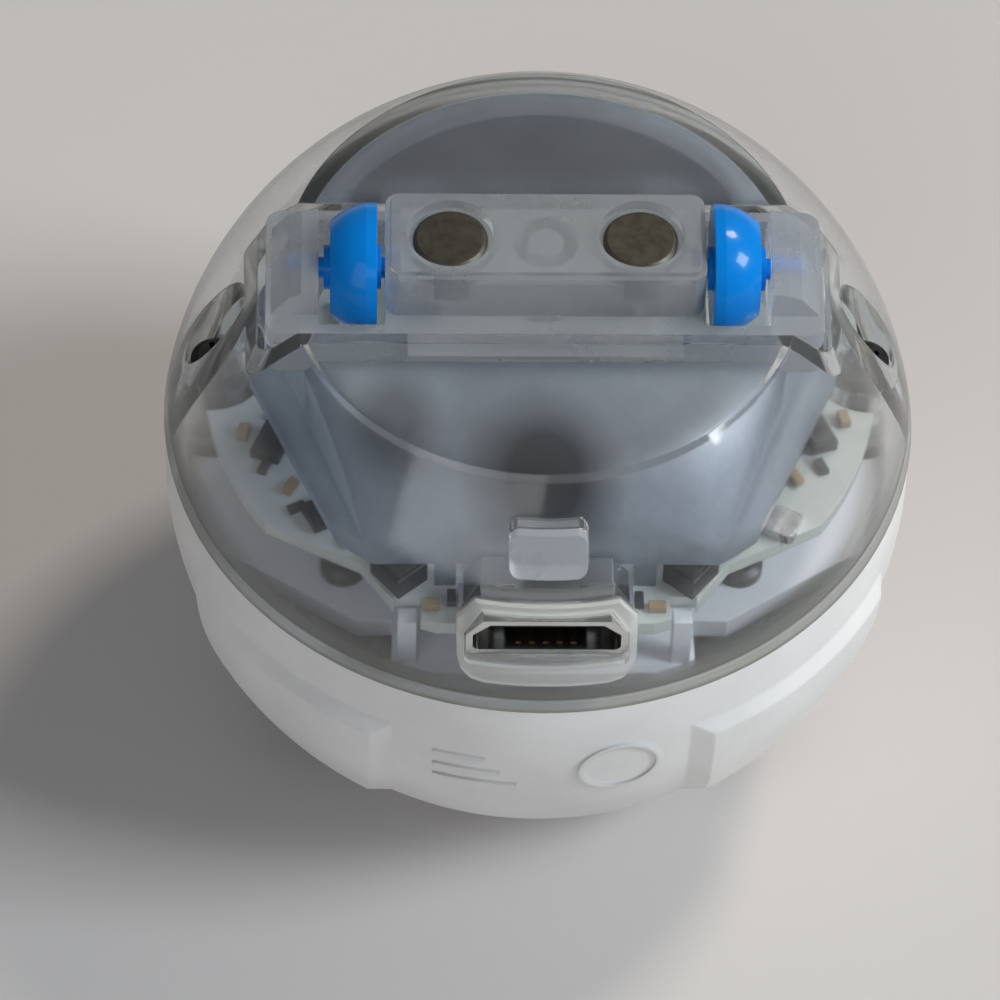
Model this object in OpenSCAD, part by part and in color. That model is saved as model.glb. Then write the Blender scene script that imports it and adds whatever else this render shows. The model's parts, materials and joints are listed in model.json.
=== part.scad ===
// Drive core of a small ball-shaped educational coding robot, as it sits inside its ball.
// Millimetres. Z is up, the charging port faces -Y, and the origin is the centre of the ball.

/* [Housing] */
// outer radius of the clear cover
body_r = 18.45; // [18.4:0.05:18.6]
// outer radius of the white housing between its pods
shell_r = 18.2; // [18.1:0.05:18.25]
// wall thickness of the moulded cover and housing
wall = 1.3; // [1.2:0.1:1.4]
// height of the seam between the cover and the housing
seam_z = 3.0; // [2.9:0.1:3.1]
// height of the flat top of the clear cover
flat_z = 13.7; // [13.6:0.1:13.8]
// height of the flat base of the white housing
base_z = -15.9; // [-16.0:0.1:-15.9]
// how far the side pods of the housing stand out from the round wall
pod_rise = 0.48; // [0.3:0.02:0.5]

/* [Idler carriage] */
// length of the centre block that holds the magnets
block_len = 15.1; // [15.0:0.1:15.3]
// height of the top face of the centre block
block_top = 16.3; // [16.2:0.1:16.5]
// radius of the two blue idler wheels
idler_r = 3.08; // [2.9:0.02:3.1]
// radius of the round magnets
magnet_r = 1.76; // [1.6:0.02:1.8]
// distance of each magnet from the centre line
magnet_x = 4.48; // [4.4:0.02:4.5]
// how far the sprung carriage can be pushed down
carriage_travel = 1.2; // [0.8:0.1:1.2]

/* [Drive] */
// radius of the tyres on the drive wheels
tyre_r = 6.5; // [6.4:0.05:6.5]
// teeth on the gear of each drive wheel
wheel_teeth = 30; // [30:10:30]
// radius of the drive wheel axles
axle_r = 0.75; // [0.6:0.05:0.8]

/* [Charging port] */
// width of the mouth of the charging socket
port_w = 6.9; // [6.7:0.1:7.0]
// length of the metal socket shell from front to back
port_len = 3.9; // [3.7:0.05:4.0]

/* [Hidden] */
$fn = 96;
inner_r = body_r - wall;
fit = 0.02;
run = 0.05;
well_x = 15.6;
well_r = 1.5;
well_floor = 6.2;
floor_z = base_z + 1.2;
hood_r = inner_r - 0.15;
hood_z0 = 7.8;
board_z = 5.2;
board_top = 6.0;
plate_z = 1.0;
plate_top = 2.2;
boss_top = 6.3;
tray_z = 10.5;
tray_top = 13.4;
idler_z = 13.75;
idler_x0 = 7.93;
idler_x1 = 10.15;
magnet_z0 = 13.9;
magnet_z1 = 15.95;
block_half = block_len / 2;
drive_z = -9.75;
gear_y = -3.6;
gear_z = -4.95;
motor_y = -7.2;
motor_z = -8.56;
tooth = 0.3;
pressure = 25;
mesh1 = atan2(gear_z - drive_z, gear_y);
mesh2 = atan2(motor_z - gear_z, motor_y - gear_y);
port_half = port_w / 2;
port_front = -16.95;
pipe_depth = 0.5;
pod_ramp_x = 16.76;
pod_ramp_y = 16.58;

// ---- helpers ----

module pillar(r, z0, z1) {
  translate([0, 0, z0]) cylinder(r = r, h = z1 - z0);
}

module bar(r, x0, x1) {
  translate([x0, 0, 0]) rotate([0, 90, 0]) cylinder(r = r, h = x1 - x0);
}

module brick(x0, x1, y0, y1, z0, z1) {
  translate([x0, y0, z0]) cube([x1 - x0, y1 - y0, z1 - z0]);
}

module zone(z0, z1) {
  brick(-30, 30, -30, 30, z0, z1);
}

module slab(w, d, z0, z1, r) {
  brick(-w / 2 + r, w / 2 - r, -d / 2, d / 2, z0, z1);
  brick(-w / 2, w / 2, -d / 2 + r, d / 2 - r, z0, z1);
  for (sx = [-1, 1], sy = [-1, 1])
    translate([sx * (w / 2 - r), sy * (d / 2 - r), 0]) pillar(r, z0, z1);
}

// a flat shape drawn in X and Z, run along Y from y0 to y1
module along_y(y0, y1) {
  translate([0, y1, 0]) rotate([90, 0, 0]) linear_extrude(height = y1 - y0) children();
}

// a flat shape drawn in Y and Z, run along X from x0 to x1
module along_x(x0, x1) {
  translate([x0, 0, 0]) rotate([90, 0, 90]) linear_extrude(height = x1 - x0) children();
}

module both_sides() {
  children();
  rotate([0, 0, 180]) children();
}

// involute gear outline
function inv(a) = tan(a) * 180 / PI - a;
function turned(r, a) = [r * cos(a), r * sin(a)];
function half_tooth(n, r) = 90 / n - 0.04 / (n * tooth / 2) * 180 / PI
  + inv(pressure) - inv(acos(min(1, n * tooth / 2 * cos(pressure) / r)));
function tooth_radii(n) =
  let (rb = n * tooth / 2 * cos(pressure), ro = n * tooth / 2 + 0.85 * tooth)
  let (r0 = max(rb, n * tooth / 2 - 1.2 * tooth))
  [for (i = [0 : 4]) r0 + (ro - r0) * i / 4];

module gear_outline(n, phase) {
  rr = n * tooth / 2 - 1.2 * tooth;
  radii = tooth_radii(n);
  foot = half_tooth(n, radii[0]);
  polygon([for (t = [0 : n - 1]) each concat(
    [turned(rr, phase + 360 * t / n - foot)],
    [for (i = [0 : 4]) turned(radii[i], phase + 360 * t / n - half_tooth(n, radii[i]))],
    [for (i = [4 : -1 : 0]) turned(radii[i], phase + 360 * t / n + half_tooth(n, radii[i]))],
    [turned(rr, phase + 360 * t / n + foot)])]);
}

// a cross-head screw with its head seated at z = 0
module screw(head_r, head_h, shank_r, len) {
  difference() {
    union() {
      pillar(head_r, 0, head_h * 0.7);
      translate([0, 0, head_h * 0.7])
        cylinder(r1 = head_r, r2 = head_r * 0.72, h = head_h * 0.3);
      pillar(shank_r, -len, 0);
    }
    brick(-head_r * 0.62, head_r * 0.62, -0.14, 0.14, head_h * 0.4, head_h + 1);
    brick(-0.14, 0.14, -head_r * 0.62, head_r * 0.62, head_h * 0.4, head_h + 1);
  }
}

// a small chip package with a chamfered top
module chip(w, d, h) {
  brick(-w / 2, w / 2, -d / 2, d / 2, 0, h * 0.8);
  brick(-w / 2 + 0.08, w / 2 - 0.08, -d / 2 + 0.08, d / 2 - 0.08, h * 0.8, h);
}

// ---- shell ----

module collar_outline() {
  polygon([[-4.2, 6.3], [-4.2, 8.1], [-3.35, 8.95], [3.35, 8.95], [4.2, 8.1], [4.2, 6.3],
    [4.0, 5.6], [3.55, 5.15], [2.9, 5.0], [-2.9, 5.0], [-3.55, 5.15], [-4.0, 5.6]]);
}

module port_outline(g) {
  x = port_half + g;
  polygon([[-x + 0.2, 6.33 - g], [x - 0.2, 6.33 - g], [x, 6.53 - g], [x, 7.45], [x - 0.8, 8.18 + g],
    [-x + 0.8, 8.18 + g], [-x, 7.45], [-x, 6.53 - g]]);
}

// the tab of the light pipe, sunk into the outside of the cover; g is the gap round it
module pipe_body(g) {
  difference() {
    rotate([90, 0, 0]) translate([0, 10.98, 8]) slab(3.66 + 2 * g, 1.72 + 2 * g, 0, 14, 0.5);
    rotate([90, 0, 0]) sphere(r = body_r - pipe_depth - g);
  }
}

module top_cover() {
  color([0.80, 0.84, 0.85, 0.35])
  difference() {
    union() {
      difference() {
        intersection() {
          sphere(r = body_r);
          zone(seam_z, flat_z);
        }
        intersection() {
          sphere(r = inner_r);
          zone(seam_z - 2, flat_z - wall);
        }
      }
      intersection() {
        sphere(r = body_r);
        for (s = [-1, 1]) translate([s * well_x, 0, 0]) pillar(well_r + 0.8, seam_z, flat_z);
      }
      intersection() {
        sphere(r = body_r + 0.35);
        along_y(-20, -15.75) collar_outline();
      }
    }
    slab(27.2, 8, 8, 20, 0.9);
    for (s = [-1, 1]) translate([s * well_x, 0, 0]) {
      pillar(well_r, well_floor, 20);
      pillar(0.7, seam_z - 2, well_floor + 1);
    }
    along_y(-20, -14) port_outline(0.4);
    pipe_body(fit);
  }
}

module light_pipe() {
  color([0.86, 0.90, 0.92, 0.7])
  intersection() {
    sphere(r = body_r + 0.3);
    pipe_body(0);
  }
}

// four corner pods that swell out of the round wall and fade back into it
module pods() {
  intersection() {
    rotate([0, 90, 0]) sphere(r = shell_r + pod_rise);
    bar(pod_ramp_x, -20, 20);
    rotate([0, 0, 90]) bar(pod_ramp_y, -20, 20);
    union() {
      zone(base_z, -0.7);
      translate([0, 0, -0.7]) cylinder(r1 = shell_r + 0.46, r2 = shell_r, h = 0.8);
    }
  }
}

module lower_housing() {
  color([0.93, 0.93, 0.92])
  difference() {
    union() {
      difference() {
        union() {
          intersection() {
            sphere(r = shell_r);
            zone(base_z, seam_z);
          }
          pods();
        }
        intersection() {
          sphere(r = inner_r);
          zone(floor_z, seam_z + 2);
        }
      }
      // bosses, posts and outer axle bearings, all grown from the wall
      intersection() {
        sphere(r = shell_r - 0.3);
        union() {
          for (s = [-1, 1]) translate([s * 15.4, 0, 0]) pillar(2.0, -7, seam_z);
          for (sx = [-1, 1], sy = [-1, 1])
            translate([sx * 9.3, sy * 9, 0]) pillar(1.4, -14, plate_z);
          for (s = [-1, 1]) translate([0, s * 11.8, 0]) pillar(1.4, -15, -4.2);
          for (s = [-1, 1]) scale([s, 1, 1]) brick(12.5, 13.8, -2, 2, -15, -7.6);
        }
      }
      // plain mould marks on the front and back panels
      for (s = [-1, 1]) scale([1, s, 1]) difference() {
        intersection() {
          sphere(r = shell_r + 0.12);
          union() {
            translate([3.7, 0, -2]) rotate([90, 0, 0]) difference() {
              cylinder(r = 2.0, h = 20);
              translate([0, 0, -1]) cylinder(r = 1.75, h = 22);
            }
            for (i = [0 : 2]) brick(-5.2, -1.2 - 0.8 * i, -20, 0, -3.4 + 1.1 * i, -3.15 + 1.1 * i);
          }
        }
        sphere(r = shell_r - 0.4);
      }
    }
    // slots for the drive wheels
    for (s = [-1, 1]) scale([s, 1, 1]) brick(9.0, 12.4, -7, 7, -25, -8.5);
    for (s = [-1, 1]) translate([s * well_x, 0, 0]) pillar(0.62, -3, seam_z + 3);
    for (sx = [-1, 1], sy = [-1, 1])
      translate([sx * 9.3, sy * 9, 0]) pillar(0.62, -4, plate_z + 3);
    for (s = [-1, 1]) translate([0, s * 11.8, 0]) pillar(0.62, -9, -4);
    for (s = [-1, 1]) scale([s, 1, 1])
      translate([0, 0, drive_z]) bar(axle_r + run, 12, 13.4);
  }
}

// ---- light and frame ----

module hood_outline(g) {
  polygon([[-8 + 0.69 * g, -12.9 + g], [8 - 0.69 * g, -12.9 + g], [12.9 - 1.07 * g, 0],
    [8 - 0.69 * g, 12.9 - g], [-8 + 0.69 * g, 12.9 - g], [-12.9 + 1.07 * g, 0]]);
}

// rim plate round the foot of the hood
module hood_rim() {
  polygon([[-8.2, -12.75], [8.2, -12.75], [9.6, -11.6], [11.5, -7.4], [13.6, -2.6], [13.6, 2.6],
    [11.5, 7.4], [9.6, 11.6], [8.2, 12.75], [-8.2, 12.75], [-9.6, 11.6], [-11.5, 7.4],
    [-13.6, 2.6], [-13.6, -2.6], [-11.5, -7.4], [-9.6, -11.6]]);
}

module light_diffuser() {
  color([0.80, 0.85, 0.90, 0.75])
  difference() {
    union() {
      intersection() {
        sphere(r = hood_r);
        translate([0, 0, hood_z0]) linear_extrude(height = flat_z - wall - 0.1 - hood_z0)
          hood_outline(0);
      }
      intersection() {
        sphere(r = hood_r);
        translate([0, 0, hood_z0]) linear_extrude(height = 0.7) hood_rim();
      }
      for (sx = [-1, 1], sy = [-1, 1])
        translate([sx * 4.6, sy * 12.4, 0]) brick(-0.5, 0.5, -0.4, 0.4, board_top, 8.5);
    }
    intersection() {
      sphere(r = hood_r - 1);
      translate([0, 0, hood_z0 - 1]) linear_extrude(height = flat_z - wall - 1.1 - hood_z0 + 1)
        hood_outline(1);
    }
    // room for the carriage at the end of its travel
    brick(-13.4, 13.4, -5, 5, tray_z - carriage_travel - 0.1, 20);
    for (s = [-1, 1]) translate([s * well_x, 0, 0]) pillar(2.5, 7, 20);
  }
}

// dark pad under the hood, behind the carriage
module foam_pad() {
  color([0.10, 0.10, 0.11])
  difference() {
    pillar(11.0, 9.6, flat_z - wall - 1.1);
    brick(-20, 20, -20, 5.5, 0, 20);
    for (s = [-1, 1]) brick(s * 14.2 - 5, s * 14.2 + 5, -20, 20, 0, 20);
    for (s = [-1, 1]) translate([s * 6.2, 5.5, 0]) pillar(1.6, 9, 20);
  }
}

module mid_frame() {
  color([0.95, 0.95, 0.94])
  difference() {
    union() {
      difference() {
        pillar(16.8, plate_z, plate_top);
        linear_extrude(height = 4)
          polygon([[-20, -4.5], [-15.1, -7.7], [-8.6, -12], [8.6, -12], [15.1, -7.7], [20, -4.5],
            [20, -20], [-20, -20]]);
      }
      intersection() {
        brick(-7, 7, -14.9, -12, plate_z, plate_top);
        pillar(15.75, 0, 4);
      }
      pillar(2.1, plate_z, boss_top);
      for (a = [45 : 90 : 315]) rotate([0, 0, a]) brick(1.5, 5.5, -0.4, 0.4, plate_z, 3.6);
      for (s = [-1, 1]) translate([s * 6.3, -13.95, 0]) brick(-0.43, 0.43, -0.4, 0.4, plate_z, 5.3);
      for (s = [-1, 1]) translate([s * 11.4, 6.6, 0]) pillar(1.3, plate_z, board_z);
    }
    for (s = [-1, 1]) translate([s * well_x, 0, 0]) pillar(2.4, 0, 4);
    for (sx = [-1, 1], sy = [-1, 1]) translate([sx * 9.3, sy * 9, 0]) pillar(0.68, 0, 4);
    for (s = [-1, 1]) translate([s * 11.4, 6.6, 0]) pillar(0.52, 2.4, 6);
    pillar(0.8 + fit, 1.6, 8);
    for (s = [-1, 1]) translate([s * 1.3, -11.4, 0]) pillar(0.6, 0, 4);
    both_sides() brick(-7.4, -6.4, -8.2, -6.2, 0, 4);
  }
}

module mast_pin() {
  color([0.62, 0.63, 0.65])
  union() {
    pillar(0.8, 1.6, 12.8);
    translate([0, 0, 12.8]) cylinder(r1 = 0.8, r2 = 0.6, h = 0.2);
  }
}

// ---- sprung idler carriage ----

function coil_z(t) = boss_top + 0.21 + (t < 1 ? 0.42 * t : t > 5 ? 3.36 + 0.42 * (t - 5)
  : 0.42 + 0.735 * (t - 1));

module carriage_spring() {
  steps = 132;
  sides = 8;
  turns = 6;
  color([0.28, 0.29, 0.31])
  polyhedron(
    points = concat([for (i = [0 : steps]) for (k = [0 : sides - 1])
      let (t = turns * i / steps, a = 360 * t, b = 360 * k / sides)
      [(1.6 + 0.2 * cos(b)) * cos(a), (1.6 + 0.2 * cos(b)) * sin(a), coil_z(t) + 0.2 * sin(b)]]),
    faces = concat([[for (k = [0 : sides - 1]) k]],
      [for (i = [0 : steps - 1]) for (k = [0 : sides - 1])
        [i * sides + k, (i + 1) * sides + k, (i + 1) * sides + (k + 1) % sides,
          i * sides + (k + 1) % sides]],
      [[for (k = [sides - 1 : -1 : 0]) steps * sides + k]]));
}

module end_block_outline() {
  polygon([[10.7, tray_z], [12.9, tray_z], [12.9, 13.5], [12.1, 14.55], [11.5, 14.85],
    [10.7, 14.95]]);
}

module idler_carriage() {
  color([0.84, 0.87, 0.88, 0.4])
  difference() {
    union() {
      slab(26.4, 7.6, 12.2, tray_top, 0.8);
      difference() {
        slab(25.8, 7.6, tray_z, 12.3, 0.8);
        slab(21.4, 6.3, tray_z - 1, 12.2, 0.5);
      }
      slab(block_len, 5.3, 12.2, block_top - 0.25, 0.7);
      slab(block_len - 0.5, 4.8, block_top - 0.26, block_top, 0.5);
      pillar(2.4, tray_z, 12.3);
      for (s = [-1, 1]) scale([s, 1, 1]) along_y(-2.6, 2.6) end_block_outline();
      for (s = [-1, 1]) brick(-6.5, 6.5, s * 4.2 - 0.5, s * 4.2 + 0.5, 11.5, flat_z - wall - 0.05);
      for (sx = [-1, 1]) brick(sx * 4.6 - 0.3, sx * 4.6 + 0.3, -3.4, 3.4, 11.3, 12.3);
    }
    // wheel wells
    for (s = [-1, 1]) scale([s, 1, 1]) brick(block_half, 10.7, -3.2, 3.2, 8, 20);
    // magnet pockets
    for (s = [-1, 1]) translate([s * magnet_x, 0, 0]) {
      pillar(magnet_r + fit, magnet_z0, 20);
      pillar(magnet_r + 0.27, magnet_z1 - 0.2, 20);
    }
    // the block is cored from below, which leaves a tube round each magnet and the guide pin
    difference() {
      brick(-block_half + 0.7, block_half - 0.7, -2.05, 2.05, 12, 15.3);
      for (s = [-1, 1]) translate([s * magnet_x, 0, 0]) pillar(2.2, 11, 16);
      pillar(1.55, 11, 16);
    }
    // guide bore and axle holes
    pillar(0.85, tray_z - 1, 15.3);
    for (s = [-1, 1]) scale([s, 1, 1]) translate([0, 0, idler_z]) bar(0.5 + run, 6.85, 12.15);
  }
}

module magnet_disc() {
  pillar(magnet_r, magnet_z0, magnet_z1 - 0.15);
  translate([0, 0, magnet_z1 - 0.15]) cylinder(r1 = magnet_r, r2 = magnet_r - 0.15, h = 0.15);
}

module magnet_left() {
  color([0.30, 0.29, 0.27]) translate([-magnet_x, 0, 0]) magnet_disc();
}

module magnet_right() {
  color([0.30, 0.29, 0.27]) translate([magnet_x, 0, 0]) magnet_disc();
}

module idler_wheel() {
  translate([0, 0, idler_z]) {
    intersection() {
      translate([idler_x0 + 0.02, 0, 0]) rotate([0, 90, 0]) sphere(r = idler_r + 0.04);
      bar(idler_r, idler_x0, idler_x1);
    }
    bar(1.05, idler_x0 - 0.2, idler_x1 + 0.3);
    bar(0.5, 6.9, 12.05);
  }
}

module idler_left() {
  color([0.02, 0.36, 0.72]) rotate([0, 0, 180]) idler_wheel();
}

module idler_right() {
  color([0.02, 0.36, 0.72]) idler_wheel();
}

// ---- fasteners ----

module cover_screws() {
  color([0.66, 0.67, 0.69])
  for (s = [-1, 1]) translate([s * well_x, 0, well_floor]) rotate([0, 0, 20])
    screw(1.25, 1.0, 0.6, 8.2);
}

module frame_screws() {
  color([0.66, 0.67, 0.69])
  union() {
    for (sx = [-1, 1], sy = [-1, 1]) translate([sx * 9.3, sy * 9, plate_top])
      rotate([0, 0, 30]) screw(1.1, 0.8, 0.6, 5);
    for (s = [-1, 1]) translate([0, s * 11.8, -3.3]) rotate([0, 0, 60]) screw(1.1, 0.8, 0.6, 5);
  }
}

module board_screws() {
  color([0.66, 0.67, 0.69])
  for (s = [-1, 1]) translate([s * 11.4, 6.6, board_top]) rotate([0, 0, 50])
    screw(1.1, 0.8, 0.5, 3);
}

// ---- electronics ----

module main_board() {
  color([0.86, 0.90, 0.86])
  difference() {
    union() {
      difference() {
        pillar(15.7, board_z, board_top);
        for (s = [-1, 1]) scale([s, 1, 1]) translate([0, 0, board_z - 1]) linear_extrude(height = 3)
          polygon([[14.6, -8.1], [10.6, -10.4], [8.5, -11.5], [6.75, -13.9], [6.75, -19],
            [19, -19]]);
        brick(-20, 20, -20, -14.9, 0, 10);
        for (s = [-1, 1]) translate([s * 6.3, -15.5, 0]) brick(-0.6, 0.6, -2, 2.1, 0, 10);
      }
      brick(-4, 4, -15.4, -13, board_z, board_top);
    }
    for (s = [-1, 1]) translate([s * well_x, 0, 0]) pillar(2.6, 0, 10);
    pillar(2.4, 0, 10);
    for (s = [-1, 1]) translate([s * 11.4, 6.6, 0]) pillar(0.6, 0, 10);
  }
}

module usb_shell() {
  color([0.72, 0.73, 0.75])
  union() {
    difference() {
      along_y(port_front, port_front + port_len) port_outline(0.33);
      along_y(port_front - 1, port_front + port_len - 0.3) port_outline(0);
      for (s = [-1, 1]) brick(s * 1.9 - 0.45, s * 1.9 + 0.45, -15.7, -14.6, 8, 9);
    }
    for (s = [-1, 1]) brick(s * 3.85 - 0.15, s * 3.85 + 0.15, -14.6, -13.4, board_top, 7.0);
  }
}

module usb_tongue() {
  color([0.07, 0.07, 0.08])
  union() {
    brick(-1.95, 1.95, port_front + 0.7, port_front + port_len - 0.3, 7.15, 7.6);
    brick(-port_half + 0.3, port_half - 0.3, port_front + port_len - 1.0,
      port_front + port_len - 0.3, 6.36, 7.4);
  }
}

module usb_contacts() {
  color([0.83, 0.66, 0.30])
  for (i = [-2 : 2]) brick(i * 0.65 - 0.14, i * 0.65 + 0.14, port_front + 0.9,
    port_front + port_len - 1.05, 7.0, 7.15);
}

module on_board(x, y, a) {
  translate([x, y, board_top]) rotate([0, 0, a]) children();
}

module processor_chip() {
  color([0.08, 0.08, 0.09]) on_board(-4.6, -6.9, 0) chip(4.6, 4.6, 0.9);
}

module radio_module() {
  color([0.70, 0.71, 0.73]) on_board(0, 7.6, 0)
  union() {
    brick(-3.6, 3.6, -2.2, 5.0, 0, 0.5);
    slab(6.2, 4.2, 0.5, 1.5, 0.4);
  }
}

module driver_chips() {
  color([0.08, 0.08, 0.09])
  union() {
    on_board(-6.7, -12.25, 40) chip(1.7, 2.0, 1.55);
    on_board(6.7, -12.25, -40) chip(1.7, 2.0, 1.55);
  }
}

module charger_chip() {
  color([0.08, 0.08, 0.09]) on_board(12.9, -4.1, -70) chip(1.9, 1.2, 0.8);
}

module motion_sensor() {
  color([0.10, 0.10, 0.11]) on_board(-12.6, -4.7, 70) chip(1.9, 1.3, 0.8);
}

module crystal() {
  color([0.75, 0.76, 0.78]) on_board(10.6, -9.2, -28) slab(2.4, 1.5, 0, 0.6, 0.3);
}

module inductor() {
  color([0.20, 0.20, 0.21]) on_board(5.6, -7.4, 0)
  union() {
    slab(3.2, 3.2, 0, 0.3, 0.3);
    pillar(1.35, 0.3, 1.0);
    slab(3.2, 3.2, 1.0, 1.3, 0.6);
  }
}

module memory_chip() {
  color([0.08, 0.08, 0.09]) on_board(-10.1, -8.8, 28) chip(1.7, 1.4, 0.8);
}

module status_leds() {
  color([0.96, 0.96, 0.92])
  for (p = [[-8.9, -3.2], [8.9, -3.2], [-8.9, 3.2], [8.9, 3.2], [-2.6, -11.3], [2.6, -11.3],
    [-7.0, 9.4], [7.0, 9.4]])
    on_board(p[0], p[1], 0) difference() {
      brick(-0.8, 0.8, -0.8, 0.8, 0, 0.75);
      pillar(0.6, 0.6, 2);
    }
}

module capacitors() {
  color([0.62, 0.50, 0.36])
  for (p = [[-5.2, -14.0, 0], [5.1, -14.1, 0], [-11.7, -7.2, 62], [11.8, -6.6, -62],
    [-13.9, -4.0, 80], [14.2, -3.1, -80], [-8.9, -10.3, 28], [8.6, -10.6, -28],
    [-0.6, -5.4, 90], [2.6, 4.6, 0], [-2.6, 4.5, 0], [-13.2, 4.6, 70], [13.2, 4.6, -70],
    [9.8, 9.6, 40], [-9.8, 9.6, -40], [-4.6, 3.6, 0], [4.6, 3.6, 0]])
    on_board(p[0], p[1], p[2]) brick(-0.4, 0.4, -0.22, 0.22, 0, 0.4);
}

module resistors() {
  color([0.12, 0.12, 0.13])
  for (p = [[-4.3, -13.6, 90], [4.3, -13.7, 90], [-7.6, -11.2, 30], [7.7, -11.1, -30],
    [-12.9, -6.0, 70], [13.0, -5.9, -70], [-11.4, -8.4, 28], [9.3, -8.0, -28],
    [-3.4, -3.6, 0], [3.6, -3.8, 0], [-11.9, 9.0, 50], [11.9, 9.0, -50], [-4.8, 5.6, 90],
    [4.8, 5.6, 90], [-12.4, -3.0, 0]])
    on_board(p[0], p[1], p[2]) brick(-0.4, 0.4, -0.2, 0.2, 0, 0.3);
}

module battery_connector() {
  color([0.09, 0.09, 0.10]) on_board(0.9, -8.6, 0)
  difference() {
    brick(-2.4, 2.4, -1.3, 1.3, 0, 2.7);
    brick(-2.0, 2.0, -0.9, 0.9, 0.8, 5);
    brick(-0.6, 0.6, 0.5, 2, 1.2, 5);
  }
}

// ---- power ----

module battery() {
  color([0.74, 0.76, 0.79])
  union() {
    slab(12.4, 18.6, -3.2, 0.9, 1.4);
    slab(12.0, 20.0, -1.6, -0.4, 0.5);
  }
}

// one lead from the battery up to the underside of the board
module battery_lead(x) {
  translate([x, 0, 0]) {
    translate([0, -11.4, -1]) rotate([-90, 0, 0]) cylinder(r = 0.38, h = 1.4);
    translate([0, -11.4, -1]) sphere(r = 0.38);
    translate([0, -11.4, 0]) pillar(0.38, -1, board_z);
  }
}

module lead_red() {
  color([0.75, 0.10, 0.08]) battery_lead(-1.3);
}

module lead_black() {
  color([0.06, 0.06, 0.07]) battery_lead(1.3);
}

module motor_leads() {
  color([0.20, 0.22, 0.60])
  both_sides() for (y = [-7.65, -6.75]) translate([0, y, 0]) {
    translate([0, 0, -8]) bar(0.28, -6.9, -5.6);
    translate([-6.9, 0, -8]) sphere(r = 0.28);
    translate([-6.9, 0, 0]) pillar(0.28, -8, board_z);
  }
}

// ---- drive ----

module drive_frame() {
  color([0.88, 0.89, 0.90])
  difference() {
    intersection() {
      sphere(r = inner_r - 0.2);
      union() {
        for (s = [-1, 1]) scale([s, 1, 1]) brick(5.2, 6.2, -11, 11, -12.9, -3.3);
        brick(-6.2, 6.2, -9.4, 9.4, -12.9, -12.1);
        brick(-6.2, 6.2, -11, 11, -4.2, -3.3);
        brick(-2, 2, -13.2, 13.2, -4.2, -3.3);
        for (sx = [-1, 1], sy = [-1, 1])
          brick(sx * 2.6 - 0.4, sx * 2.6 + 0.4, sy * 7.2 - 2.4, sy * 7.2 + 2.4, -12.2, -9);
      }
    }
    for (s = [-1, 1]) translate([0, s * motor_y, motor_z]) bar(3.02, -7, 7);
    translate([0, 0, drive_z]) bar(axle_r + run, -7, 7);
    both_sides() translate([0, gear_y, gear_z]) bar(0.5 + fit, 4, 7);
    for (s = [-1, 1]) translate([0, s * 11.8, 0]) pillar(0.66, -6, 0);
    for (sx = [-1, 1]) slab(3.2, 8, -5, 0, 0.8);
  }
}

module ballast() {
  color([0.55, 0.56, 0.57])
  difference() {
    intersection() {
      pillar(8.6, floor_z, -12.9);
      brick(-7.1, 7.1, -9, 9, -16, 0);
    }
    for (s = [-1, 1]) translate([0, s * 5, 0]) pillar(0.9, -16, 0);
    for (s = [-1, 1]) translate([s * 4.6, 0, 0]) pillar(0.9, -13.6, 0);
  }
}

module motor_can() {
  translate([0, motor_y, motor_z]) difference() {
    union() {
      bar(3, -5.1, 6.2);
      bar(1.1, 6.1, 6.42);
      bar(2.8, -5.3, -5.0);
    }
    bar(0.4 + run, 5.5, 7);
  }
}

module motor_left() {
  color([0.70, 0.71, 0.72]) rotate([0, 0, 180]) motor_can();
}

module motor_right() {
  color([0.70, 0.71, 0.72]) motor_can();
}

module motor_caps() {
  color([0.10, 0.10, 0.11])
  both_sides() translate([0, motor_y, motor_z]) difference() {
    bar(2.8, -5.6, -5.3);
    bar(0.8, -6, -5.45);
  }
}

module gear_shafts() {
  color([0.62, 0.63, 0.65])
  both_sides() translate([0, gear_y, gear_z]) bar(0.5, 4.6, 9.05);
}

module motor_shaft() {
  translate([0, motor_y, motor_z]) bar(0.4, 5.55, 7.75);
}

module motor_shaft_left() {
  color([0.62, 0.63, 0.65]) rotate([0, 0, 180]) motor_shaft();
}

module motor_shaft_right() {
  color([0.62, 0.63, 0.65]) motor_shaft();
}

module pinion() {
  translate([0, motor_y, motor_z]) difference() {
    along_x(6.6, 7.7) gear_outline(10, mesh2 + 180 + 18);
    bar(0.4 + fit, 6, 8);
  }
}

module pinion_left() {
  color([0.80, 0.64, 0.32]) rotate([0, 0, 180]) pinion();
}

module pinion_right() {
  color([0.80, 0.64, 0.32]) pinion();
}

module compound_gear() {
  translate([0, gear_y, gear_z]) difference() {
    union() {
      along_x(7.8, 9.0) gear_outline(10, mesh1 + 180 + 18);
      along_x(6.8, 7.6) gear_outline(24, mesh2);
      bar(1.0, 6.3, 7.9);
    }
    bar(0.5 + run, 5, 10);
    for (a = [0 : 60 : 300]) rotate([a, 0, 0]) translate([0, 2.1, 0]) bar(0.5, 6, 7.7);
  }
}

module gear_left() {
  color([0.92, 0.92, 0.90]) rotate([0, 0, 180]) compound_gear();
}

module gear_right() {
  color([0.92, 0.92, 0.90]) compound_gear();
}

module wheel_gear() {
  translate([0, 0, drive_z]) difference() {
    union() {
      along_x(7.8, 9.0) gear_outline(wheel_teeth, mesh1);
      bar(1.5, 6.3, 9.1);
    }
    bar(axle_r + fit, 5, 10);
    for (a = [30 : 60 : 330]) rotate([a, 0, 0]) translate([0, 2.75, 0]) bar(0.7, 7, 10);
  }
}

module wheel_gear_left() {
  color([0.92, 0.92, 0.90]) rotate([0, 0, 180]) wheel_gear();
}

module wheel_gear_right() {
  color([0.92, 0.92, 0.90]) wheel_gear();
}

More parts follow.
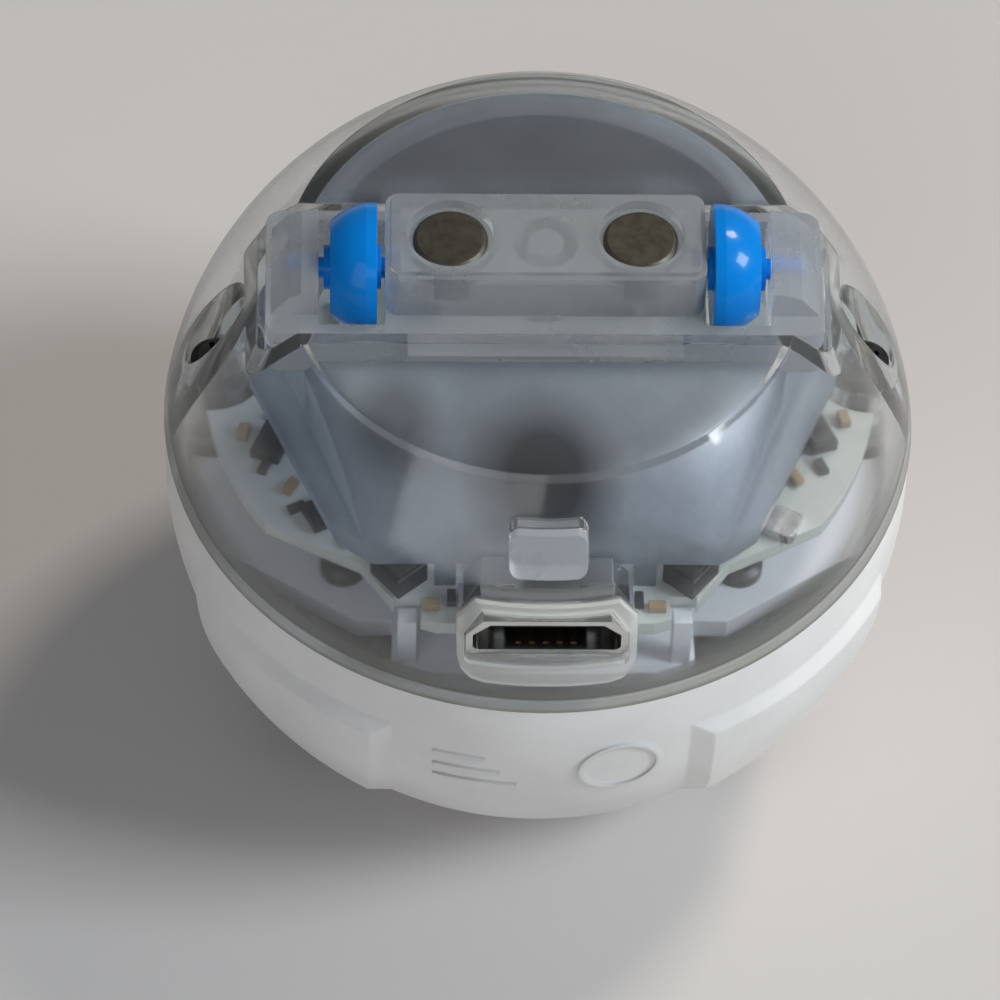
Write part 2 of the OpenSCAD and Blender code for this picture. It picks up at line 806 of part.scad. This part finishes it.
module axle_left() {
  color([0.62, 0.63, 0.65]) translate([0, 0, drive_z]) bar(axle_r, -13.3, -4.8);
}

module axle_right() {
  color([0.62, 0.63, 0.65]) translate([0, 0, drive_z]) bar(axle_r, 4.8, 13.3);
}

module wheel_hub() {
  translate([0, 0, drive_z]) difference() {
    union() {
      bar(4.9, 9.2, 12.0);
      bar(1.9, 9.1, 12.2);
    }
    difference() {
      bar(4.2, 9, 9.9);
      bar(1.9, 8, 11);
    }
    difference() {
      bar(4.2, 10.8, 13);
      bar(1.9, 10, 14);
    }
    for (a = [0 : 72 : 288]) rotate([a, 0, 0]) translate([0, 3.05, 0]) bar(0.75, 9, 13);
    bar(axle_r + fit, 8, 13);
  }
}

module hub_left() {
  color([0.02, 0.36, 0.72]) rotate([0, 0, 180]) wheel_hub();
}

module hub_right() {
  color([0.02, 0.36, 0.72]) wheel_hub();
}

module tyre() {
  translate([0, 0, drive_z]) difference() {
    rotate([0, 90, 0]) rotate_extrude()
      polygon([[4.92, 9.2], [tyre_r - 0.45, 9.2], [tyre_r, 9.65], [tyre_r, 11.55],
        [tyre_r - 0.45, 12.0], [4.92, 12.0]]);
    for (a = [0 : 15 : 345]) rotate([a, 0, 0]) brick(9, 13, -0.22, 0.22, tyre_r - 0.35, 8);
  }
}

module tyre_left() {
  color([0.12, 0.12, 0.13]) rotate([0, 0, 180]) tyre();
}

module tyre_right() {
  color([0.12, 0.12, 0.13]) tyre();
}

top_cover();
lower_housing();
light_diffuser();
foam_pad();
light_pipe();
mid_frame();
mast_pin();
carriage_spring();
idler_carriage();
magnet_left();
magnet_right();
idler_left();
idler_right();
cover_screws();
frame_screws();
board_screws();
main_board();
usb_shell();
usb_tongue();
usb_contacts();
processor_chip();
memory_chip();
radio_module();
driver_chips();
charger_chip();
motion_sensor();
crystal();
inductor();
status_leds();
capacitors();
resistors();
battery_connector();
battery();
lead_red();
lead_black();
motor_leads();
drive_frame();
ballast();
motor_left();
motor_right();
motor_caps();
gear_shafts();
motor_shaft_left();
motor_shaft_right();
pinion_left();
pinion_right();
gear_left();
gear_right();
wheel_gear_left();
wheel_gear_right();
axle_left();
axle_right();
hub_left();
hub_right();
tyre_left();
tyre_right();
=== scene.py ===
"""Looks for the drive core of a ball-shaped coding robot."""
import json
import math

import bpy
from mathutils import Matrix, Vector


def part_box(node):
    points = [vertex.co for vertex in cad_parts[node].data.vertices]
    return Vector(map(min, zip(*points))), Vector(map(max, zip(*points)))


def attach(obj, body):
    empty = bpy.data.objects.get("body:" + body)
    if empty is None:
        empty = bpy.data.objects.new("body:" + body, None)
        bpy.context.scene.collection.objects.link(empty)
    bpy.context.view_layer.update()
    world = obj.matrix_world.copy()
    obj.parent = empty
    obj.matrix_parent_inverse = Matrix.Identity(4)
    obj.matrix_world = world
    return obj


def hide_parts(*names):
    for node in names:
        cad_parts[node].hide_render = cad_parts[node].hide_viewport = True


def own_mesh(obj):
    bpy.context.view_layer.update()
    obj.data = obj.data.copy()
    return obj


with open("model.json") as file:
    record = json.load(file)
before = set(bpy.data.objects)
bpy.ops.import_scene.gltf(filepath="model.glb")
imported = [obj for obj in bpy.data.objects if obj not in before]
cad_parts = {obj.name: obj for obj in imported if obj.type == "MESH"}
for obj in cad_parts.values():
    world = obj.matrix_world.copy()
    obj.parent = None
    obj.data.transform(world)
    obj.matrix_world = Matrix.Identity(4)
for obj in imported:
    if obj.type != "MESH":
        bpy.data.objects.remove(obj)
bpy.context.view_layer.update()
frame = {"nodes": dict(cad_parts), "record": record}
nodes = frame["nodes"]
MM = 0.001


# ---- shader graphs ----
class Graph:
    """A short way to write a node material."""

    def __init__(self, name):
        self.mat = bpy.data.materials.new(name)
        self.mat.use_nodes = True
        self.nt = self.mat.node_tree
        self.nt.nodes.clear()
        self.coord = self.add("TexCoord").outputs["Object"]

    def add(self, kind, settings=None, **inputs):
        node = self.nt.nodes.new("ShaderNode" + kind)
        for key, value in (settings or {}).items():
            setattr(node, key, value)
        for key, value in inputs.items():
            self.put(node.inputs[key.replace("_", " ")], value)
        return node

    def put(self, socket, value):
        if isinstance(value, bpy.types.NodeSocket):
            self.nt.links.new(value, socket)
        elif isinstance(value, (tuple, list)) and socket.type == "RGBA" and len(value) == 3:
            socket.default_value = (*value, 1)
        else:
            socket.default_value = value

    def maths(self, operation, *values):
        node = self.add("Math", {"operation": operation})
        for i, value in enumerate(values):
            self.put(node.inputs[i], value)
        return node.outputs[0]

    def noise(self, scale, detail=3, rough=0.5, stretch=None):
        vector = self.coord
        if stretch:
            vector = self.add("Mapping", None, Vector=vector, Scale=stretch).outputs[0]
        return self.add("TexNoise", None, Vector=vector, Scale=scale, Detail=detail,
                        Roughness=rough).outputs["Fac"]

    def span(self, fac, low, high, to_low, to_high):
        node = self.add("MapRange", {"clamp": True}, Value=fac)
        for key, value in (("From Min", low), ("From Max", high), ("To Min", to_low),
                           ("To Max", to_high)):
            node.inputs[key].default_value = value
        return node.outputs["Result"]

    def mix(self, fac, a, b, blend="MIX"):
        node = self.add("Mix", {"data_type": "RGBA", "blend_type": blend})
        self.put(node.inputs[0], fac)
        self.put(node.inputs[6], a)
        self.put(node.inputs[7], b)
        return node.outputs[2]

    def bump(self, height, strength, distance, normal=None):
        node = self.add("Bump", None, Height=height, Strength=strength, Distance=distance)
        if normal is not None:
            self.put(node.inputs["Normal"], normal)
        return node.outputs["Normal"]

    def distance(self, centre=(0, 0, 0), squeeze=(1, 1, 1)):
        """Metres from a point, with each axis first stretched by squeeze."""
        node = self.add("VectorMath", {"operation": "SUBTRACT"})
        self.put(node.inputs[0], self.coord)
        node.inputs[1].default_value = centre
        scale = self.add("VectorMath", {"operation": "MULTIPLY"})
        self.put(scale.inputs[0], node.outputs[0])
        scale.inputs[1].default_value = squeeze
        length = self.add("VectorMath", {"operation": "LENGTH"})
        self.put(length.inputs[0], scale.outputs[0])
        return length.outputs["Value"]

    def soft_edges(self, radius, samples=4):
        return self.add("Bevel", {"samples": samples}, Radius=radius).outputs["Normal"]

    def surface(self, shader):
        out = self.add("OutputMaterial")
        self.nt.links.new(shader, out.inputs["Surface"])
        return self.mat


def scaled(colour, by):
    return tuple(min(1.0, c * by) for c in colour)


def plastic(name, colour, rough=0.38, grain=2600, grain_depth=0.012, vary=0.05, coat=0.0,
            subsurface=0.0, edge=0.12, specular=0.5, painted_inner_shade=None):
    """Moulded plastic. The optional inner shade is the radius, floor height and colour of shade painted
    onto the inner walls, which lie in shadow under the cover.
    """
    g = Graph(name)
    mottle = g.noise(180, 3, 0.6)
    fine = g.noise(grain, 2, 0.5)
    base = g.mix(g.span(mottle, 0.3, 0.7, 0, 1), scaled(colour, 1 - vary), scaled(colour, 1 + vary))
    # painted shade: inner walls closer to the centre than the radius, and above the floor height, take
    # the shade colour in place of the plastic's own
    if painted_inner_shade:
        radius, floor_height, inner_shade_colour = painted_inner_shade
        z = g.add("SeparateXYZ", None, Vector=g.coord).outputs["Z"]
        inner_shade_mask = g.maths("MINIMUM", g.span(g.distance(), radius, radius + 0.15 * MM, 1, 0),
                         g.span(z, floor_height, floor_height + 0.3 * MM, 0, 1))
        base = g.mix(inner_shade_mask, base, inner_shade_colour)
    streak = g.noise(420, 4, 0.6, stretch=(1, 1, 0.25))
    roughness = g.span(streak, 0.25, 0.75, rough * 0.86, rough * 1.16)
    normal = g.bump(fine, 0.35, grain_depth * MM, g.soft_edges(edge * MM))
    shader = g.add("BsdfPrincipled", None, Base_Color=base, Roughness=roughness, Normal=normal,
                   Coat_Weight=coat, Coat_Roughness=0.06, Specular_IOR_Level=specular)
    if subsurface:
        shader.inputs["Subsurface Weight"].default_value = subsurface
        shader.inputs["Subsurface Radius"].default_value = (1.2, 1.1, 1.0)
        shader.inputs["Subsurface Scale"].default_value = 0.9 * MM
    return g.surface(shader.outputs[0])


def metal(name, colour, rough=0.28, brush=(1, 1, 1), scale=1500, depth=0.004, tarnish=0.1):
    """Bare metal: brushed or cast lines, with duller spots. depth is in millimetres."""
    edge = 0.08 * MM
    g = Graph(name)
    lines = g.noise(scale, 4, 0.6, stretch=brush)
    spots = g.noise(260, 4, 0.6)
    base = g.mix(g.span(spots, 0.45, 0.8, 0, 1), colour, scaled(colour, 1 - tarnish * 2))
    roughness = g.span(lines, 0.25, 0.75, rough * 0.75, rough * 1.3)
    normal = g.bump(lines, 0.3, depth * MM, g.soft_edges(edge))
    return g.surface(g.add("BsdfPrincipled", None, Base_Color=base, Roughness=roughness,
                           Metallic=1.0, Normal=normal).outputs[0])


def mixed(g, fac, a, b):
    """Shader a, with this share of shader b."""
    node = g.add("MixShader")
    g.put(node.inputs[0], fac)
    g.nt.links.new(a, node.inputs[1])
    g.nt.links.new(b, node.inputs[2])
    return node.outputs[0]


def lamps_pass(g, body, tint):
    """Lamps reach what is behind a clear or frosted wall."""
    path = g.add("LightPath")
    through = g.maths("MAXIMUM", path.outputs["Is Shadow Ray"], path.outputs["Is Diffuse Ray"])
    clear = g.add("BsdfTransparent", None, Color=tint).outputs[0]
    return g.surface(mixed(g, through, body, clear))


def clear_plastic(name, haze_colour, rough, haze, ior=1.5, rim=None, edge_haze=0.0, collar=None):
    """Moulded clear plastic: glass with a little milk in it, more of it seen edge-on.

    rim is the two heights between which the milk fades out, its share and its colour. The milk there
    stands for the thick wall seen edge-on, and its olive colour is painted shade from the shadowed
    housing ledge seen through that wall.
    collar is the radius beyond which the plastic is milky, its share and its colour.
    """
    tint, shadow = (0.965, 0.975, 0.975), (0.9, 0.91, 0.92)
    edge, scratch = 0.1 * MM, 0.002 * MM
    g = Graph(name)
    smudge = g.noise(150, 4, 0.65)
    scuff = g.noise(900, 3, 0.6, stretch=(1, 0.3, 1))
    roughness = g.span(smudge, 0.35, 0.75, rough * 0.6, rough * 1.8)
    normal = g.bump(scuff, 0.2, scratch, g.soft_edges(edge))
    glass = g.add("BsdfPrincipled", None, Base_Color=tint, Roughness=roughness, IOR=ior,
                  Transmission_Weight=1.0, Normal=normal).outputs[0]
    milk = haze_colour
    amount = g.span(smudge, 0.3, 0.7, haze * 0.7, haze * 1.4)
    if edge_haze:
        facing = g.add("LayerWeight", None, Blend=0.5).outputs["Facing"]
        amount = g.maths("ADD", amount, g.span(facing, 0.55, 1.0, 0, edge_haze))
    # painted shade: by the seam the cover turns milky in a deeper olive grey, for the shadowed housing
    # ledge seen through the thick wall
    if rim:
        low, high, most, colour = rim
        z = g.add("SeparateXYZ", None, Vector=g.coord).outputs["Z"]
        rim_shade_mask = g.span(z, low, high, 1, 0)
        amount = g.maths("MAXIMUM", amount, g.maths("MULTIPLY", rim_shade_mask, most))
        milk = g.mix(rim_shade_mask, haze_colour, colour)
    if collar:
        radius, most, colour = collar
        out = g.span(g.distance(), radius, radius + 0.12 * MM, 0, 1)
        amount = g.maths("MAXIMUM", amount, g.maths("MULTIPLY", out, most))
        milk = g.mix(out, milk, colour)
    cloudy = g.add("BsdfPrincipled", None, Base_Color=milk, Roughness=0.35, Normal=normal).outputs[0]
    cloudy = mixed(g, 0.45, cloudy, g.add("BsdfTranslucent", None, Color=milk).outputs[0])
    return lamps_pass(g, mixed(g, amount, glass, cloudy), shadow)


def frosted_plastic(name, blurs, pad):
    """The light diffuser: bluish grey, satin, and only half see-through.

    blurs are soft spots of painted shade for the parts in shadow seen through the hood, each a centre, a
    spread and a strength. pad is where the hood is painted darker over the foam pad, for the pad and the
    shade under the back of the hood: two places on Y between which it fades in, and its radius.
    """
    blur_squeeze = (1, 0.75, 0.9)
    edge, grain_depth = 1.8 * MM, 0.016 * MM
    fade_in, full, pad_radius = pad
    g = Graph(name)
    grain = g.noise(6000, 2, 0.6)
    cloud = g.noise(95, 3, 0.5)
    base = g.mix(g.span(cloud, 0.3, 0.7, 0, 1), (0.40, 0.44, 0.52), (0.57, 0.62, 0.70))
    shade = g.span(g.noise(260, 3, 0.6), 0.3, 0.7, 0.85, 1.0)
    # painted shade: soft spots that also dull the sheen and tint the see-through part
    for centre, spread, strength in blurs:
        dark = g.span(g.distance(centre, blur_squeeze), 0.4 * spread, spread, 1 - strength, 1)
        shade = g.maths("MULTIPLY", shade, dark)
    # painted shade over the foam pad, at the back of the hood
    y = g.add("SeparateXYZ", None, Vector=g.coord).outputs["Y"]
    under = g.maths("MULTIPLY", g.span(y, fade_in, full, 0, 1),
                    g.span(g.distance(squeeze=(1, 1, 0)), pad_radius, pad_radius + 0.6 * MM, 1, 0))
    shade = g.maths("MULTIPLY", shade, g.span(under, 0, 1, 1, 0.72))
    speckle = g.span(g.noise(2400, 4, 0.8), 0.3, 0.7, 0.78, 1.12)
    base = g.mix(1.0, base, speckle, "MULTIPLY")
    # the painted shade colour, laid in by the spots and over the pad
    base = g.mix(shade, (0.02, 0.022, 0.03), base)
    normal = g.bump(grain, 0.6, grain_depth, g.soft_edges(edge, 6))
    satin = g.add("BsdfPrincipled", None, Base_Color=base, Roughness=0.44, Normal=normal,
                  Specular_IOR_Level=g.span(shade, 0, 1, 0.15, 1.0), Metallic=0.3).outputs[0]
    satin = mixed(g, 0.35, satin, g.add("BsdfTranslucent", None, Color=base).outputs[0])
    glass = g.add("BsdfPrincipled", None, Base_Color=g.mix(shade, (0.1, 0.11, 0.12), (0.68, 0.74, 0.84)),
                  Roughness=0.38, IOR=1.3, Transmission_Weight=1.0, Normal=normal).outputs[0]
    return lamps_pass(g, mixed(g, g.span(cloud, 0.3, 0.7, 0.34, 0.48), glass, satin),
                      (0.70, 0.73, 0.78))


# ---- finishes for the CAD nodes ----
BLUE = (0.0, 0.215, 0.70)
hood_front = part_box("light_diffuser")[0][1]
hood_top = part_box("light_diffuser")[1][2]
pad_low, pad_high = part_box("foam_pad")
base_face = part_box("lower_housing")[0][2]
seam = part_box("top_cover")[0][2]
cover_radius = math.hypot(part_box("top_cover")[1][0], seam)

FINISH = {
    "clear_cover": clear_plastic("clear_cover", rough=0.07, haze=0.035, edge_haze=0.55,
                                 haze_colour=(0.47, 0.48, 0.475),
                                 # by the seam: milk for the thick wall, in an olive grey that is painted
                                 # shade
                                 rim=(seam + 0.2 * MM, seam + 2 * MM, 0.6, (0.36, 0.35, 0.31)),
                                 collar=(cover_radius + 0.05 * MM, 0.6, (0.95, 0.95, 0.90))),
    "clear_carriage": clear_plastic("clear_carriage", rough=0.30, haze=0.50, edge_haze=0.2,
                                    haze_colour=(0.52, 0.54, 0.56), ior=1.36),
    # the white shell's inner walls get painted shade, a deep olive grey, as they lie in shadow under the
    # cover
    "white_shell": plastic("white_shell", (0.765, 0.765, 0.76), rough=0.34, subsurface=0.25, edge=0.3,
                           painted_inner_shade=(cover_radius - 1.2 * MM, base_face + 0.6 * MM,
                                   (0.13, 0.125, 0.105))),
    "frosted_hood": frosted_plastic(
        "frosted_hood",
        # two spots of painted shade, and painted shade over the back of the hood
        (((-0.2 * MM, hood_front * 0.89, hood_top), 4.0 * MM, 1.0),
         ((hood_front * 0.55, hood_front * 0.64, hood_top), 2.5 * MM, 0.6)),
        (pad_low[1] - 1 * MM, pad_low[1] + 1.5 * MM, pad_high[0] * 1.2)),
    "foam": plastic("foam", (0.018, 0.02, 0.024), rough=0.9, grain=1800, grain_depth=0.08),
    "light_pipe": clear_plastic("light_pipe", rough=0.25, haze=0.45, haze_colour=(0.62, 0.65, 0.68)),
    "white_inner": plastic("white_inner", (0.80, 0.82, 0.88), rough=0.45),
    "steel_pin": metal("steel_pin", (0.58, 0.59, 0.61)),
    "spring_steel": metal("spring_steel", (0.08, 0.085, 0.10), rough=0.35),
    "magnet": metal("magnet", (0.125, 0.116, 0.097), rough=0.42, tarnish=0.12),
    "blue_wheel": plastic("blue_wheel", BLUE, rough=0.28, coat=0.25, vary=0.04, grain_depth=0.004,
                          specular=0.1),
    "screw_steel": metal("screw_steel", (0.045, 0.045, 0.05), rough=0.42),
    "board": plastic("board", (0.56, 0.60, 0.58), rough=0.3, vary=0.05),
    "usb_metal": metal("usb_metal", (0.66, 0.66, 0.66), rough=0.16),
    "black_plastic": plastic("black_plastic", (0.012, 0.012, 0.014), rough=0.4),
    "gold": metal("gold", (0.75, 0.52, 0.18), rough=0.2),
    "chip_black": plastic("chip_black", (0.012, 0.012, 0.014), rough=0.5),
    "radio_can": metal("radio_can", (0.5, 0.5, 0.52), rough=0.3),
    "crystal_can": metal("crystal_can", (0.6, 0.6, 0.62), rough=0.25),
    "ferrite": plastic("ferrite", (0.03, 0.03, 0.032), rough=0.6),
    "led": plastic("led", (0.85, 0.83, 0.62), rough=0.35),
    "capacitor": plastic("capacitor", (0.36, 0.25, 0.14), rough=0.4),
    "resistor": plastic("resistor", (0.02, 0.02, 0.022), rough=0.3),
    "battery_foil": metal("battery_foil", (0.6, 0.61, 0.63), rough=0.4),
    "red_lead": plastic("red_lead", (0.55, 0.02, 0.015), rough=0.35),
    "black_lead": plastic("black_lead", (0.012, 0.012, 0.014), rough=0.35),
    "motor_lead": plastic("motor_lead", (0.02, 0.04, 0.45), rough=0.35),
    "drive_frame": plastic("drive_frame", (0.68, 0.69, 0.70), rough=0.45),
    "ballast": metal("ballast", (0.32, 0.32, 0.33), rough=0.5, depth=0.02, scale=900),
    "motor_can": metal("motor_can", (0.56, 0.57, 0.58), rough=0.28, brush=(0.1, 1, 1)),
    "pinion_brass": metal("pinion_brass", (0.75, 0.52, 0.2), rough=0.25),
    "white_gear": plastic("white_gear", (0.78, 0.78, 0.75), rough=0.42),
    "blue_hub": plastic("blue_hub", BLUE, rough=0.24, coat=0.3, vary=0.04, grain_depth=0.004),
    "tyre_rubber": plastic("tyre_rubber", (0.022, 0.022, 0.024), rough=0.72, grain_depth=0.03),
}


SHARP_FROM = math.radians(32)


def smooth(mesh):
    """Smooth shading, with the sharp edges kept."""
    mesh.shade_smooth()
    mesh.set_sharp_from_angle(angle=SHARP_FROM)


for part in frame["record"]["subparts"]:
    ob = nodes[part["node"]]
    ob.data.materials.clear()
    ob.data.materials.append(FINISH[part["material_slot"]])
    smooth(ob.data)


# ---- pieces made here ----
def piece(name, points, faces, slot, body):
    """A mesh object that rides on a body and takes its finish from a material slot."""
    mesh = bpy.data.meshes.new(name)
    mesh.from_pydata(points, [], faces)
    mesh.validate()
    mesh.materials.append(FINISH[slot])
    ob = bpy.data.objects.new(name, mesh)
    bpy.context.scene.collection.objects.link(ob)
    smooth(mesh)
    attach(ob, body)
    return ob


def coil_points(low, high, turns=6.0, steps=216, sides=12, wire=0.2 * MM, closed=0.42 * MM):
    """Points and faces of a compression spring. closed is the rise of the turn at each end."""
    radius = (high[0] - low[0]) / 2 - wire
    free = high[2] - low[2] - 2 * wire - 2 * closed
    rings = []
    for i in range(steps + 1):
        turn = turns * i / steps
        if turn < 1:
            lift = closed * turn
        elif turn > turns - 1:
            lift = closed + free + closed * (turn - turns + 1)
        else:
            lift = closed + free * (turn - 1) / (turns - 2)
        a = 2 * math.pi * turn
        for k in range(sides):
            b = 2 * math.pi * k / sides
            r = radius + wire * math.cos(b)
            rings.append((r * math.cos(a), r * math.sin(a), low[2] + wire + lift + wire * math.sin(b)))
    faces = [tuple(reversed(range(sides)))]
    for i in range(steps):
        for k in range(sides):
            n = (k + 1) % sides
            faces.append((i * sides + k, i * sides + n, (i + 1) * sides + n, (i + 1) * sides + k))
    faces.append(tuple(steps * sides + k for k in range(sides)))
    return rings, faces


def coil_spring():
    """The spring under the carriage, as a fixed coil mesh in the CAD spring's place, riding on the
    chassis; the real spring shortens as the carriage is pushed down.
    """
    low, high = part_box("carriage_spring")
    points, faces = coil_points(low, high)
    ob = piece("coil_spring", points, faces, "spring_steel", "chassis")
    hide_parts("carriage_spring")
    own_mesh(ob)


coil_spring()


# ---- floor, light and camera ----
def floor(half=1.2):
    """A pale paper floor under the tyres, this far out to each side."""
    g = Graph("paper")
    broad = g.noise(6, 3, 0.5)
    fine = g.noise(1400, 3, 0.6)
    base = g.mix(g.span(broad, 0.3, 0.7, 0, 1), (0.60, 0.575, 0.56), (0.64, 0.615, 0.60))
    shader = g.add("BsdfPrincipled", None, Base_Color=base, Roughness=0.6,
                   Normal=g.bump(fine, 0.15, 0.02 * MM), Specular_IOR_Level=0.3)
    mesh = bpy.data.meshes.new("floor")
    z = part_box("tyre_left")[0][2]
    corners = [(-half, -half, z), (half, -half, z), (half, half, z), (-half, half, z)]
    mesh.from_pydata(corners, [], [(0, 1, 2, 3)])
    ob = bpy.data.objects.new("floor", mesh)
    bpy.context.scene.collection.objects.link(ob)
    mesh.materials.append(g.surface(shader.outputs[0]))


def lamp(name, at, size, power, colour):
    """A square soft lamp that points at the origin."""
    data = bpy.data.lights.new(name, "AREA")
    data.size = size
    data.energy = power
    data.color = colour
    ob = bpy.data.objects.new(name, data)
    ob.location = at
    ob.rotation_euler = (-Vector(at)).to_track_quat("-Z", "Y").to_euler()
    bpy.context.scene.collection.objects.link(ob)


def towards(azimuth, elevation, distance=0.8):
    """A place this far away, with the azimuth turning from +X to +Y."""
    a, e = math.radians(azimuth), math.radians(elevation)
    return tuple(distance * c for c in (math.cos(a) * math.cos(e), math.sin(a) * math.cos(e),
                                        math.sin(e)))


def room(strength=0.24, left=(0.42, 0.43, 0.46), right=(0.85, 0.87, 0.92)):
    """Even room light, brighter towards +X."""
    world = bpy.data.worlds.new("room")
    bpy.context.scene.world = world
    world.use_nodes = True
    nt = world.node_tree
    nt.nodes.clear()
    coord = nt.nodes.new("ShaderNodeTexCoord")
    split = nt.nodes.new("ShaderNodeSeparateXYZ")
    nt.links.new(coord.outputs["Generated"], split.inputs[0])
    ramp = nt.nodes.new("ShaderNodeValToRGB")
    ramp.color_ramp.elements[0].position = 0.0
    ramp.color_ramp.elements[0].color = (*left, 1)
    ramp.color_ramp.elements[1].position = 1.0
    ramp.color_ramp.elements[1].color = (*right, 1)
    remap = nt.nodes.new("ShaderNodeMapRange")
    remap.inputs["From Min"].default_value = -1
    nt.links.new(split.outputs["X"], remap.inputs["Value"])
    nt.links.new(remap.outputs[0], ramp.inputs[0])
    back = nt.nodes.new("ShaderNodeBackground")
    back.inputs["Strength"].default_value = strength
    nt.links.new(ramp.outputs[0], back.inputs["Color"])
    out = nt.nodes.new("ShaderNodeOutputWorld")
    nt.links.new(back.outputs[0], out.inputs["Surface"])


def camera(lens=219.9, distance=0.300, shift=(-0.0365, -0.0525)):
    """Looks down on the front of the robot. lens is in millimetres, distance in metres."""
    up_angle, yaw, roll = math.radians(51.8), math.radians(-3.0), math.radians(2.55)
    back = Vector((math.sin(yaw) * math.cos(up_angle), -math.cos(yaw) * math.cos(up_angle),
                   math.sin(up_angle)))
    right = Vector((math.cos(yaw), math.sin(yaw), 0))
    up = back.cross(right)
    x = right * math.cos(roll) + up * math.sin(roll)
    y = up * math.cos(roll) - right * math.sin(roll)
    data = bpy.data.cameras.new("camera")
    data.lens = lens
    data.sensor_width = 36
    data.shift_x, data.shift_y = shift
    data.clip_start = 0.01
    data.clip_end = 10
    ob = bpy.data.objects.new("camera", data)
    m = Matrix((x, y, back)).transposed().to_4x4()
    m.translation = back * distance
    ob.matrix_world = m
    bpy.context.scene.collection.objects.link(ob)
    bpy.context.scene.camera = ob


floor()
room()
lamp("lamp_behind", towards(43, 50), 0.16, 2.3, (1.0, 0.91, 0.78))
lamp("window", towards(-14, 38), 0.26, 4.3, (0.90, 0.96, 1.0))
lamp("fill", towards(-115, 30), 0.6, 1.4, (0.95, 0.97, 1.0))
camera()
bpy.context.scene.view_settings.view_transform = "Standard"
